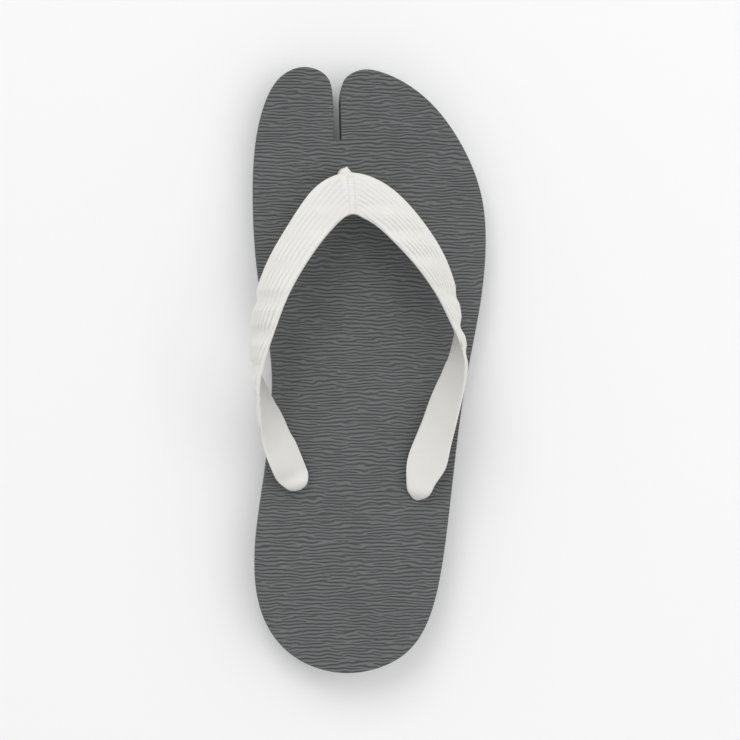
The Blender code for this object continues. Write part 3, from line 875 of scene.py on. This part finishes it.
def smooth_step(values, low, high):
    t = np.clip((values - low) / (high - low), 0.0, 1.0)
    return t * t * (3 - 2 * t)


def back_share(y):
    """How far back a y lies, as a share of the way from the toe post to the outer stem."""
    return (toe_place[1] - y) / strap_reach


def within_segment(y, divisions, low, high):
    """0 where two segments meet and 1 within one, between two shares of how far their meeting reaches."""
    nearest = np.min(np.abs(back_share(y)[:, None] - np.array(divisions)[None, :]), axis=1)
    return smooth_step(nearest, low * DIVISION_REACH, high * DIVISION_REACH)


def rib_share(across, y, run, facing, divisions, from_edge):
    """How deep the ribs are: nothing at the band's edges and the seam, and less where segments meet."""
    window = smooth_step(across, RIB_LOW, RIB_LOW + RIB_EDGE)
    window *= smooth_step(from_edge, RIB_FADE[0] * RIB_START, RIB_FADE[1] * RIB_START)
    seam = smooth_step(run, SEAM_HALF, SEAM_HALF + SEAM_FADE)
    last = divisions[-1]
    rear = 1 - smooth_step(back_share(y), last - DIVISION_REACH / 2, last + DIVISION_REACH / 4)
    full = RIB_LEFT + (1 - RIB_LEFT) * within_segment(y, divisions, *RIB_GAP)
    return facing * window * seam * rear * full


print("from the toe post back to the outer stem, mm:", round(strap_reach / MM, 1))
print("across from stem to stem, mm:", round(hole_spacing / MM, 1))

# %% [markdown]
# Cut across, the band is a flat oblong with soft corners and the stems are round. One formula gives both: a
# superellipse is a circle at 2 and comes close to a rectangle at 5. Points that are evenly spaced on it keep
# the ribs crisp, and most of them go to the face, because the back is smooth.

# %% The shape of a section
FACE_SIDES = 104
BACK_SIDES = 30
SHAPE_SAMPLES = 1500
LIP_BEND = 1.6


def section_shape(square, lip):
    """Points of the section, across and out from -1 to 1, evenly spaced on its face and again on its back.

    With a lip of 0 the section is widest half way through. With more it is widest towards its back, which
    then ends in crisp edges, and with less towards its face.
    """
    turns = np.linspace(0.0, math.pi, SHAPE_SAMPLES)
    across, out = [], []
    for sides, sign in ((FACE_SIDES, 1.0), (BACK_SIDES, -1.0)):
        bend = 1 + LIP_BEND * abs(lip)
        power = 2 / square * (bend if sign * lip > 0 else 1 / bend)
        u = np.sign(np.cos(turns)) * np.abs(np.cos(turns)) ** power
        v = np.abs(np.sin(turns)) ** power
        v = sign * v * (1 + sign * lip) - lip
        flatness = 1.0 if square == ROUND else BAND_THICKNESS / BAND_WIDTH
        length = np.concatenate([[0.0], np.cumsum(np.hypot(np.diff(u), flatness * np.diff(v)))])
        at = np.arange(sides) / sides * length[-1]
        across.append(sign * np.interp(at, length, u))
        out.append(np.interp(at, length, v))
    return np.concatenate(across), np.concatenate(out)


print("points round a section:", len(section_shape(ROUND, 0.0)[0]))

# %% One ring of the band
Station = namedtuple("Station", "place centre upper face width thick square lean side")

LIP_UPRIGHT = -0.5
LIP_TURNED = 0.7
LIP_FROM = 60
LIP_TO = 100
SEGMENT_SWELL = (0.05, 0.75)
SEGMENT_PINCH = 1.0 * MM
SEGMENT_PAD = {"inner": 1.0 * MM, "outer": 0.4 * MM}
PINCH_FROM = {"inner": 0.31, "outer": 0.32}
PINCH_EASE = 0.09
FRONT_DIP = 0.5
DIP_FLATNESS = 8
SEAM_STEP = 0.22 * MM
SEAM_CREST = 0.8
SEAM_FLATNESS = 6
RIB_PITCH = {"inner": 2.2 * MM, "outer": 1.85 * MM}
RIB_PLACES = (0.05, 0.2, 0.35, 0.5, 0.65)
RIB_STRENGTH = {"inner": (0.75, 0.45, 0.7, 1.2, 0.7), "outer": (0.42, 1.0, 1.7, 1.7, 1.4)}


def distance_to(path, points):
    """How far each point is from a path of straight pieces."""
    start, along = path[:-1], np.diff(path, axis=0)
    offset = points[:, None, :] - start[None, :, :]
    share = np.clip((offset * along).sum(2) / (along * along).sum(1), 0.0, 1.0)
    return np.sqrt(((offset - share[:, :, None] * along) ** 2).sum(2).min(1))


def segment_relief(side, across, y, flat, run, divisions):
    """How deep the band dips between segments, how far its edge pulls in, and how high its seam stands."""
    tight = smooth_step(back_share(y), PINCH_FROM[side], PINCH_FROM[side] + PINCH_EASE)
    gap = (1 - within_segment(y, divisions, *SEGMENT_SWELL)) * flat
    dip = SEGMENT_DEPTH * gap * (FRONT_DIP + (1 - FRONT_DIP) * tight)
    dip = dip * (1 - across**DIP_FLATNESS * (1 - tight))
    last = 1 - smooth_step(back_share(y), divisions[-1], divisions[-1] + DIVISION_REACH)
    dip -= SEGMENT_PAD[side] * (flat - gap) * tight * last * (1 - across**2)
    pinch = SEGMENT_PINCH * gap * tight * (across < 0)
    near_seam = 1 - smooth_step(run, SEAM_CREST * SEAM_HALF, SEAM_HALF)
    return dip, pinch, SEAM_STEP * near_seam * (1 - across**SEAM_FLATNESS)


def band_section(station, run=0.0, divisions=None, v_edge=None):
    """One ring of the band, and for each of its points its place among the ribs and how deep they are."""
    flat = min(1.0, station.square / ROUND - 1)
    turned = float(smooth_step(station.lean, LIP_FROM, LIP_TO))
    across, out = section_shape(station.square, flat * (LIP_UPRIGHT + (LIP_TURNED - LIP_UPRIGHT) * turned))
    facing = np.zeros(len(across))
    facing[:FACE_SIDES] = 1.0
    half = station.width / 2
    upper, face = station.upper, station.face
    dip, pinch, seam, rib_place, ribs = np.zeros((5, len(across)))
    y = station.centre[1] + upper[1] * across * half
    if divisions:
        dip, pinch, seam = segment_relief(station.side, across, y, flat, run, divisions)
    rise = (BAND_CROWN * (1 - across**2) * flat - dip + seam) * facing
    ring = station.centre + upper * (across * (half - pinch))[:, None]
    ring = ring + face * (out * station.thick / 2 + rise)[:, None]
    if divisions:
        from_edge = distance_to(v_edge, ring)
        rib_place = (from_edge - RIB_START) / RIB_PITCH[station.side]
        ribs = np.interp(back_share(y), RIB_PLACES, RIB_STRENGTH[station.side])
        ribs *= rib_share(across, y, run, facing, divisions, from_edge)
    return ring, rib_place, ribs


ribbed_width = BAND_WIDTH * (1 - RIB_LOW) / 2 - RIB_START
print("ribs side by side:", {side: round(ribbed_width / pitch, 1) for side, pitch in RIB_PITCH.items()})

# %% The path of the band
STATION_STEP = 0.56 * MM
LOOK_AHEAD = 0.1 * MM
STEM_LEAN = 180.0


def strap_place(across, back):
    return toe_place + np.array([across * hole_spacing, -back * strap_reach])


def row_values(row):
    x, y = strap_place(row.across, row.back)
    z = float(footbed(y)) + row.rise * STRAP_RISE
    return [x, y, z, row.bearing, row.lean, row.width * BAND_WIDTH, row.thick * BAND_THICKNESS, row.square]


def stem_top(hole, row):
    x, y = sole_point(hole)
    z = float(footbed(y)) + STEM_SHOULDER
    return [x, y, z, row.bearing, STEM_LEAN, STEM_DIAMETER, STEM_DIAMETER, ROUND]


def flat_direction(bearing):
    """A level direction, from its angle in degrees: 0 is towards the heel and 90 towards the small toes."""
    turn = math.radians(bearing)
    return np.array([math.sin(turn), -math.cos(turn), 0.0])


def stem_sections(hole, bearing, ahead):
    """The plug and the round stem of one arm, from the plug's lower face up to the stem's shoulder."""
    x, y = sole_point(hole)
    upper = -flat_direction(bearing)
    face = np.cross(upper, (0.0, 0.0, ahead))
    low, high = plug_heights(y)
    shoulder = float(footbed(y)) + STEM_SHOULDER
    steps = ((low, PLUG_DIAMETER), (high, PLUG_DIAMETER), (high, STEM_DIAMETER), (shoulder, STEM_DIAMETER))
    centres = [np.array([x, y, z]) for z, _ in steps]
    return [
        band_section(Station(0.0, centre, upper, face, size, size, ROUND, 0.0, ""))
        for centre, (_, size) in zip(centres, steps)
    ]


def band_stations():
    """Where the band's sections stand and how they are turned, and the seam's place among them."""
    rows = [stem_top(INNER_HOLE, STRAP_ROWS[0])] + [row_values(row) for row in STRAP_ROWS]
    rows = np.array(rows + [stem_top(OUTER_HOLE, STRAP_ROWS[-1])])
    knots = knots_along(rows[:, :3])
    value_at = natural_spline(knots, rows)
    seam = knots[SEAM + 1]
    count = int(round(knots[-1] / STATION_STEP))
    stations = []
    for i in range(1, count):
        place = knots[-1] * i / count
        x, y, z, bearing, lean, width, thick, square = value_at(place)
        ahead = value_at(place + LOOK_AHEAD)[:3] - value_at(place - LOOK_AHEAD)[:3]
        tilt = math.radians(lean)
        upper = flat_direction(bearing) * math.cos(tilt) + np.array([0.0, 0.0, math.sin(tilt)])
        face = np.cross(upper, ahead)
        face /= np.linalg.norm(face)
        square = max(square, ROUND)
        side = "inner" if place < seam else "outer"
        stations.append(Station(place, np.array([x, y, z]), upper, face, width, thick, square, lean, side))
    return stations, seam


stations, seam_at = band_stations()
print("stations along the band:", len(stations), "seam after, mm:", round(seam_at / MM, 1))

# %% The strap's fine mesh
STRAIGHT_FROM = 15 * MM
STRAIGHT_REACH = 20 * MM
AIM_STATIONS = 8
RIB_ATTRIBUTES = ("rib_place", "rib_share")


def v_edge(stations, seam):
    """One arm's edge towards the V, carried on straight past the seam."""
    edge = [s.centre + s.upper * s.width / 2 for s in stations if abs(s.place - seam) > STRAIGHT_FROM]
    if stations[0].place < seam:
        edge.reverse()
    ahead = edge[0] - edge[AIM_STATIONS]
    return np.array([edge[0] + ahead / np.linalg.norm(ahead) * STRAIGHT_REACH] + edge)


def strap_sections(stations, seam):
    """Every ring of the strap, from the plug of the inner stem over the seam to the plug of the outer one."""
    sections = stem_sections(INNER_HOLE, STRAP_ROWS[0].bearing, 1.0)
    for side, divisions in (("inner", INNER_DIVISIONS), ("outer", OUTER_DIVISIONS)):
        arm = [station for station in stations if station.side == side]
        edge = v_edge(arm, seam)
        sections += [band_section(station, abs(station.place - seam), divisions, edge) for station in arm]
    return sections + stem_sections(OUTER_HOLE, STRAP_ROWS[-1].bearing, -1.0)[::-1]


sections = strap_sections(stations, seam_at)
strap = new_piece("rubber_strap", loft("strap", [ring for ring, _, _ in sections]))
for column, name in enumerate(RIB_ATTRIBUTES, 1):
    attribute = strap.data.attributes.new(name, "FLOAT", "POINT")
    values = np.concatenate([section[column] for section in sections])
    attribute.data.foreach_set("value", values.astype(np.float32))
print("strap sections:", len(sections), "faces:", len(strap.data.polygons))

# %% [markdown]
# Each segment of the band carries seven or eight ribs that run along the V and fade where segments meet.
# Modelled one by one they would be a hundred loops, and as a bump they would vanish at the band's outline.
# Geometry Nodes press the grooves between them into the fine mesh instead: the attribute rib_place says
# which rib a point is on, rib_share how deep the groove is there, and the point moves in along its normal.

# %% Geometry Nodes for the ribs
RIB_DEPTH = 0.7 * MM
RIB_ROUNDNESS = 1.3


def read_attribute(tree, name):
    made = tree.nodes.new("GeometryNodeInputNamedAttribute")
    made.inputs["Name"].default_value = name
    return made.outputs["Attribute"]


def rib_grooves(tree, place, share, roundness):
    """1 at the bottom of a groove and 0 on a rib's crest, times how deep the ribs are there."""
    turn = calculate(tree, "MULTIPLY", place, math.pi)
    ridge = calculate(tree, "ABSOLUTE", calculate(tree, "SINE", turn))
    groove = calculate(tree, "SUBTRACT", 1.0, calculate(tree, "POWER", ridge, roundness))
    return calculate(tree, "MULTIPLY", groove, share)


def rib_tree(values, material):
    tree, given = new_tree("strap ribs", values)
    place, share = (read_attribute(tree, name) for name in RIB_ATTRIBUTES)
    grooves = rib_grooves(tree, place, share, given["Roundness"])
    depth = negative(tree, calculate(tree, "MULTIPLY", grooves, given["Depth"]))
    scale = tree.nodes.new("ShaderNodeVectorMath")
    scale.operation = "SCALE"
    tree.links.new(field_node(tree, "GeometryNodeInputNormal"), scale.inputs[0])
    tree.links.new(depth, scale.inputs["Scale"])
    end_tree(tree, move_points(tree, given["Geometry"], scale.outputs[0]), material)
    return tree


print("ribs, mm deep at full strength:", round(RIB_DEPTH / MM, 2))

# %% [markdown]
# The rubber is off-white and satin, a touch translucent, and not quite even in colour. The same two
# attributes that carve the ribs also paint shade into their grooves in the material, darker where the grooves
# are deeper.
# A small yellow stain sits beside the seam.

# %% Moulded rubber
STRAP_WHITE = (0.80, 0.79, 0.76, 1.0)
STRAP_SHADE = (0.74, 0.725, 0.69, 1.0)
STRAP_GROOVE_SHADE = (0.46, 0.445, 0.41, 1.0)
GROOVE_SHADE = 0.25
GROOVE_POWER = 2.0
STRAP_STAIN = (0.72, 0.62, 0.40, 1.0)
STAIN_PLACE = (-9.3 * MM, 83.1 * MM)
STAIN_SIZE = 1.6 * MM
STAIN_CORE = 0.3
STAIN_SHARE = 0.35
STRAP_CLOUDS = 90.0
STRAP_ROUGHNESS = 0.42
SKIN_SCALE = 900.0
SKIN_DEPTH = 0.02 * MM
GLOW_SHARE = 0.3
GLOW_COLOUR = (1.0, 0.95, 0.85)
GLOW_REACH = 0.7 * MM


def shader_attribute(tree, name):
    made = tree.nodes.new("ShaderNodeAttribute")
    made.attribute_name = name
    return made.outputs["Fac"]


def moulded_rubber():
    material, tree, shader = new_material("moulded_rubber")
    place = object_place(tree)
    white = mix_colours(tree, noise(tree, place, STRAP_CLOUDS, CLOUD_DETAIL), STRAP_SHADE, STRAP_WHITE)
    rib_place, share = (shader_attribute(tree, name) for name in RIB_ATTRIBUTES)
    grooves = rib_grooves(tree, rib_place, share, RIB_ROUNDNESS)
    # painted shade: the grooves between the ribs are coloured darker, the more so the deeper they are
    shade = calculate(tree, "MULTIPLY", calculate(tree, "POWER", grooves, GROOVE_POWER), GROOVE_SHADE)
    white = mix_colours(tree, shade, white, STRAP_GROOVE_SHADE)
    x, y, _ = separate(tree, place)
    offsets = [calculate(tree, "SUBTRACT", part, at) for part, at in zip((x, y), STAIN_PLACE)]
    far = smooth_between(tree, length_of(tree, *offsets), STAIN_CORE * STAIN_SIZE, STAIN_SIZE)
    stain = calculate(tree, "MULTIPLY", calculate(tree, "SUBTRACT", 1.0, far), STAIN_SHARE)
    tree.links.new(mix_colours(tree, stain, white, STRAP_STAIN), shader.inputs["Base Color"])
    tree.links.new(bump(tree, noise(tree, place, SKIN_SCALE), SKIN_DEPTH), shader.inputs["Normal"])
    shader.inputs["Roughness"].default_value = STRAP_ROUGHNESS
    shader.inputs["Subsurface Weight"].default_value = GLOW_SHARE
    shader.inputs["Subsurface Radius"].default_value = GLOW_COLOUR
    shader.inputs["Subsurface Scale"].default_value = GLOW_REACH
    return material


moulded = moulded_rubber()
rib_values = {"Depth": RIB_DEPTH, "Roundness": RIB_ROUNDNESS}
run_tree(strap, rib_tree(rib_values, moulded), rib_values)
print("ribbed strap, faces:", len(strap.data.polygons))

# %% [markdown]
# The toe post is a round peg with a plug under the sole. It leans back a little to the band and ends in a low
# dome, whose front half shows before the band. It is lofted from rings and then joined to the band with a
# Boolean, so that the strap stays one closed skin.

# %% The toe post
DOME_SHARE = 0.45
DOME_STEPS = 10
POST_SIDES = 96
PEAK_TURN = 88
PEAK_WIDTH = 9
PEAK_REACH = 0.2
FLAT_TURN = 45
FLAT_WIDTH = 24
FLAT_REACH = -0.2


def post_top(y):
    seam = STRAP_ROWS[SEAM]
    edge_drop = seam.width * BAND_WIDTH / 2 * math.sin(math.radians(seam.lean))
    return float(footbed(y)) + seam.rise * STRAP_RISE - edge_drop + POST_PROUD


def dome_ring(place, radius, z):
    """A ring that has a small peak at its front, where the mould closed, and is flattened beside it."""
    ring = round_ring((0.0, 0.0), 1.0, z, POST_SIDES)
    turns = np.degrees(np.arctan2(ring[:, 1], ring[:, 0]))
    peak = PEAK_REACH * np.exp(-(((turns - PEAK_TURN) / PEAK_WIDTH) ** 2))
    flat = FLAT_REACH * np.exp(-(((turns - FLAT_TURN) / FLAT_WIDTH) ** 2))
    ring[:, :2] *= (radius * (1 + peak + flat))[:, None]
    ring[:, :2] += place
    return ring


def post_rings():
    place = sole_point(TOE_HOLE)
    radius = POST_DIAMETER / 2
    low, high = plug_heights(place[1])
    rings = [
        round_ring(place, PLUG_DIAMETER / 2, low, POST_SIDES),
        round_ring(place, PLUG_DIAMETER / 2, high, POST_SIDES),
        round_ring(place, radius, high, POST_SIDES),
        round_ring(place, radius, float(footbed(place[1])), POST_SIDES),
    ]
    behind = place - np.array([0.0, POST_LEAN])
    dome = radius * DOME_SHARE
    for step in range(DOME_STEPS):
        turn = math.pi / 2 * step / DOME_STEPS
        z = post_top(place[1]) - dome * (1 - math.sin(turn))
        rings.append(dome_ring(behind, radius * math.cos(turn), z))
    return rings


post = new_piece("toe_post", loft("toe_post", post_rings()))
post.data.materials.append(moulded)
boolean(strap, post, "UNION")
make_plain(strap)
bpy.data.objects.remove(post)
shade_and_count(strap)

# %% [markdown]
# Down the seam run two columns of tiny raised beads, left by the mould. A bead every 1.35 mm is a plain case
# for instances: a grid of points over the seam is dropped onto the band with a Raycast, and a small sphere
# is sunk a little more than half way into the rubber at each point that hits.

# %% Geometry Nodes for the seam's beads
BEAD_ROWS = 12
BEAD_COLUMNS = 2
BEAD_PITCH = 1.35 * MM
BEAD_COLUMN_GAP = 2.6 * MM
BEAD_SIZE = 0.9 * MM
BEAD_SINK = 0.18 * MM
BALL_SUBDIVISIONS = 2
SEAM_TURN = math.radians(3)
RAY_START = 100 * MM
RAY_DOWN = (0.0, 0.0, -1.0)
RAY_LENGTH = 1.0


def bead_tree(values, target_piece, material):
    tree, given = new_tree("seam beads", values)
    grid = tree.nodes.new("GeometryNodeMeshGrid")
    grid.inputs["Vertices X"].default_value = BEAD_COLUMNS
    tree.links.new(given["Rows"], grid.inputs["Vertices Y"])
    tree.links.new(given["Column Gap"], grid.inputs["Size X"])
    length = calculate(tree, "MULTIPLY", calculate(tree, "SUBTRACT", given["Rows"], 1.0), given["Pitch"])
    tree.links.new(length, grid.inputs["Size Y"])
    points = tree.nodes.new("GeometryNodeMeshToPoints")
    tree.links.new(grid.outputs["Mesh"], points.inputs["Mesh"])
    place = tree.nodes.new("GeometryNodeTransform")
    tree.links.new(points.outputs[0], place.inputs["Geometry"])
    tree.links.new(combine(tree, given["X"], given["Y"], given["Height"]), place.inputs["Translation"])
    place.inputs["Rotation"].default_value = (0.0, 0.0, SEAM_TURN)
    band = tree.nodes.new("GeometryNodeObjectInfo")
    band.inputs["Object"].default_value = target_piece
    ray = tree.nodes.new("GeometryNodeRaycast")
    tree.links.new(band.outputs["Geometry"], ray.inputs["Target Geometry"])
    ray.inputs["Ray Direction"].default_value = RAY_DOWN
    ray.inputs["Ray Length"].default_value = RAY_LENGTH
    sink = combine(tree, 0.0, 0.0, negative(tree, given["Sink"]))
    drop = tree.nodes.new("GeometryNodeSetPosition")
    tree.links.new(place.outputs[0], drop.inputs["Geometry"])
    tree.links.new(ray.outputs["Is Hit"], drop.inputs["Selection"])
    tree.links.new(ray.outputs["Hit Position"], drop.inputs["Position"])
    tree.links.new(sink, drop.inputs["Offset"])
    ball = tree.nodes.new("GeometryNodeMeshIcoSphere")
    ball.inputs["Subdivisions"].default_value = BALL_SUBDIVISIONS
    tree.links.new(calculate(tree, "DIVIDE", given["Size"], 2.0), ball.inputs["Radius"])
    put = tree.nodes.new("GeometryNodeInstanceOnPoints")
    tree.links.new(drop.outputs[0], put.inputs["Points"])
    tree.links.new(ball.outputs["Mesh"], put.inputs["Instance"])
    end_tree(tree, put.outputs[0], material)
    return tree


seam_x, seam_y = strap_place(STRAP_ROWS[SEAM].across, STRAP_ROWS[SEAM].back)
beads = new_piece("seam_beads", bpy.data.meshes.new("seam_beads"))
bead_values = {
    "Rows": BEAD_ROWS,
    "Pitch": BEAD_PITCH,
    "Column Gap": BEAD_COLUMN_GAP,
    "Size": BEAD_SIZE,
    "Sink": BEAD_SINK,
    "X": float(seam_x + TO_FRAME[0]),
    "Y": float(seam_y + TO_FRAME[1]),
    "Height": RAY_START,
}
run_tree(beads, bead_tree(bead_values, strap, moulded), bead_values)
beads.data.shade_smooth()
print("bead triangles:", len(beads.data.polygons))

# %% [markdown]
# The photograph was lit for a catalogue: a pale floor, a very large soft light from the toe side and a little
# from the left, and light from all round that leaves only faint shadows on the heel side and under the strap.
# A wide area light, a weak one from the right and a bright world do the same.

# %% Floor, lights and world
FLOOR_HALF = 3.0
FLOOR_COLOUR = (0.93, 0.93, 0.93, 1.0)
FLOOR_ROUGHNESS = 0.9
Light = namedtuple("Light", "name place size power")
LIGHTS = (
    Light("key_light", (-0.9, 2.1, 2.55), 1.8, 34.0),
    Light("fill_light", (0.8, 0.0, 1.5), 1.4, 6.0),
)
WORLD_COLOUR = (1.0, 1.0, 1.0, 1.0)
WORLD_STRENGTH = 0.66

floor_corners = [(x * FLOOR_HALF, y * FLOOR_HALF, 0) for x, y in ((-1, -1), (1, -1), (1, 1), (-1, 1))]
floor = new_piece("floor", mesh_from("floor", floor_corners, [(0, 1, 2, 3)]))
floor_material, _, floor_shader = new_material("floor")
floor_shader.inputs["Base Color"].default_value = FLOOR_COLOUR
floor_shader.inputs["Roughness"].default_value = FLOOR_ROUGHNESS
floor.data.materials.append(floor_material)


def area_light(light):
    """A square light that looks at the middle of the sandal."""
    lamp = bpy.data.objects.new(light.name, bpy.data.lights.new(light.name, "AREA"))
    bpy.context.scene.collection.objects.link(lamp)
    lamp.data.shape = "SQUARE"
    lamp.data.size = light.size
    lamp.data.energy = light.power
    lamp.location = light.place
    lamp.rotation_mode = "QUATERNION"
    lamp.rotation_quaternion = (target - Vector(light.place)).to_track_quat("-Z", "Y")


for light in LIGHTS:
    area_light(light)

world = bpy.data.worlds.new("studio")
bpy.context.scene.world = world
world.use_nodes = True
world.node_tree.nodes["Background"].inputs["Color"].default_value = WORLD_COLOUR
world.node_tree.nodes["Background"].inputs["Strength"].default_value = WORLD_STRENGTH
bpy.context.scene.view_settings.view_transform = "Standard"
print("lights, W:", {light.name: light.power for light in LIGHTS})

# %% [markdown]
# Last, each piece rides on the one body of the model, and the sole and the strap stand for the solids that
# they cover, which are hidden.

# %% Ride and replace
for piece, node in ((sole, "sole"), (strap, "strap")):
    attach(piece, "root")
    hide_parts(node)
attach(beads, "root")
